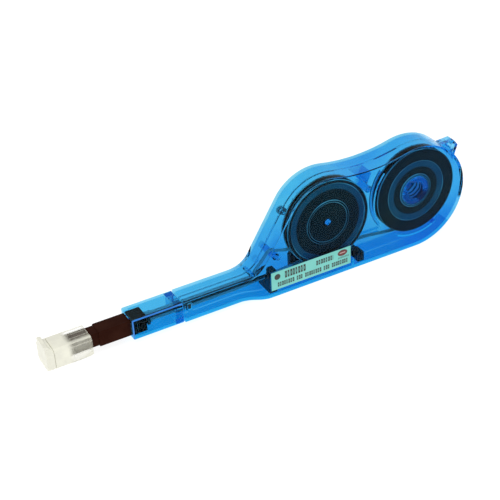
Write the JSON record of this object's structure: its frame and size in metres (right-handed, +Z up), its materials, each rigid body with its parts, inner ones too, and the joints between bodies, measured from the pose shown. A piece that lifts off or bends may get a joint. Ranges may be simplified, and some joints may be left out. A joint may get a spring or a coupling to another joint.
{
  "type": "fibre-optic connector cleaner",
  "caption": "Push-to-click cleaner for fibre-optic connectors: a see-through blue casing with tape reels, a slim handle, a sliding nozzle and an ivory guide cap with a hinged lid.",
  "frame": {"origin": "middle of the footprint, on the surface that the casing's straight long edge rests on", "axes": "+X from the nozzle's lid to the rear reel, +Y from the label side to the far broad side, +Z up"},
  "size_m": [0.2099, 0.0152, 0.0522],
  "materials": {
    "casing_blue": "clear blue moulded plastic, polished",
    "label_film": "satin sticker film",
    "nozzle_brown": "satin, near-black brown",
    "cap_ivory": "satin, slightly translucent ivory",
    "lid_ivory": "satin ivory",
    "slide_black": "satin black",
    "reel_black": "satin near-black",
    "head_white": "satin",
    "gear_white": "satin",
    "pawl_black": "satin",
    "spring_steel": "drawn wire",
    "tape_cloth": "fine woven microfibre"
  },
  "bodies": {
    "casing": {"near_shell": "casing_blue", "far_shell": "casing_blue", "front_sleeve": "casing_blue", "label": "label_film", "supply_brake_spring": "spring_steel", "tape_supply_run": "tape_cloth", "tape_return_run": "tape_cloth"},
    "slider": {"nozzle": "nozzle_brown", "push_rod": "slide_black", "carriage": "slide_black", "return_spring": "spring_steel"},
    "gear": {"drive_gear": "gear_white"},
    "drive_pawl_body": {"drive_pawl": "pawl_black"},
    "holding_pawl_body": {"holding_pawl": "pawl_black"},
    "takeup": {"takeup_reel": "reel_black", "takeup_flange": "reel_black", "takeup_tape_roll": "tape_cloth", "takeup_ratchet": "gear_white"},
    "supply": {"supply_reel": "reel_black", "supply_flange": "reel_black", "supply_tape_roll": "tape_cloth"},
    "head": {"cleaning_head": "head_white", "tape_head_loop": "tape_cloth", "head_spring": "spring_steel"},
    "cap": {"guide_cap": "cap_ivory"},
    "lid": {"cap_lid": "lid_ivory"}
  },
  "joints": [
    {"name": "plunge", "type": "slide", "parent": "casing", "child": "slider", "axis": [1, 0, 0], "range_m": [0, 0.008], "stiffness_N_per_m": 500, "deforming": ["return_spring"]},
    {"name": "gear_turn", "type": "hinge", "parent": "casing", "child": "gear", "pos_m": [0.03175, 0.003, 0.0285], "axis": [0, -1, 0], "range_deg": [0, 31]},
    {"name": "drive_pawl_lift", "type": "hinge", "parent": "gear", "child": "drive_pawl_body", "pos_m": [0.03755, 0, 0.03855], "axis": [0, 1, 0], "range_deg": [0, 8], "stiffness_Nm_per_rad": 0.002},
    {"name": "holding_pawl_lift", "type": "hinge", "parent": "casing", "child": "holding_pawl_body", "pos_m": [0.01446, 0, 0.03479], "axis": [0, 1, 0], "range_deg": [0, 8], "stiffness_Nm_per_rad": 0.002},
    {"name": "takeup_turn", "type": "hinge", "parent": "casing", "child": "takeup", "pos_m": [0.03175, 0, 0.0285], "axis": [0, -1, 0], "continuous": true},
    {"name": "supply_turn", "type": "hinge", "parent": "casing", "child": "supply", "pos_m": [0.07885, 0, 0.0294], "axis": [0, -1, 0], "continuous": true},
    {"name": "head_float", "type": "slide", "parent": "slider", "child": "head", "axis": [1, 0, 0], "range_m": [0, 0.0015], "stiffness_N_per_m": 300, "deforming": ["head_spring"]},
    {"name": "cap_pull", "type": "slide", "parent": "slider", "child": "cap", "axis": [-1, 0, 0], "range_m": [0, 0.03]},
    {"name": "lid_swing", "type": "hinge", "parent": "cap", "child": "lid", "pos_m": [-0.10155, 0, 0.0014], "axis": [0, -1, 0], "range_deg": [0, 100]}
  ],
  "couplings": [
    {"joint": "gear_turn", "follows": "plunge", "rad_per_m": 66.667},
    {"joint": "supply_turn", "follows": "takeup_turn", "ratio": -0.6857}
  ]
}
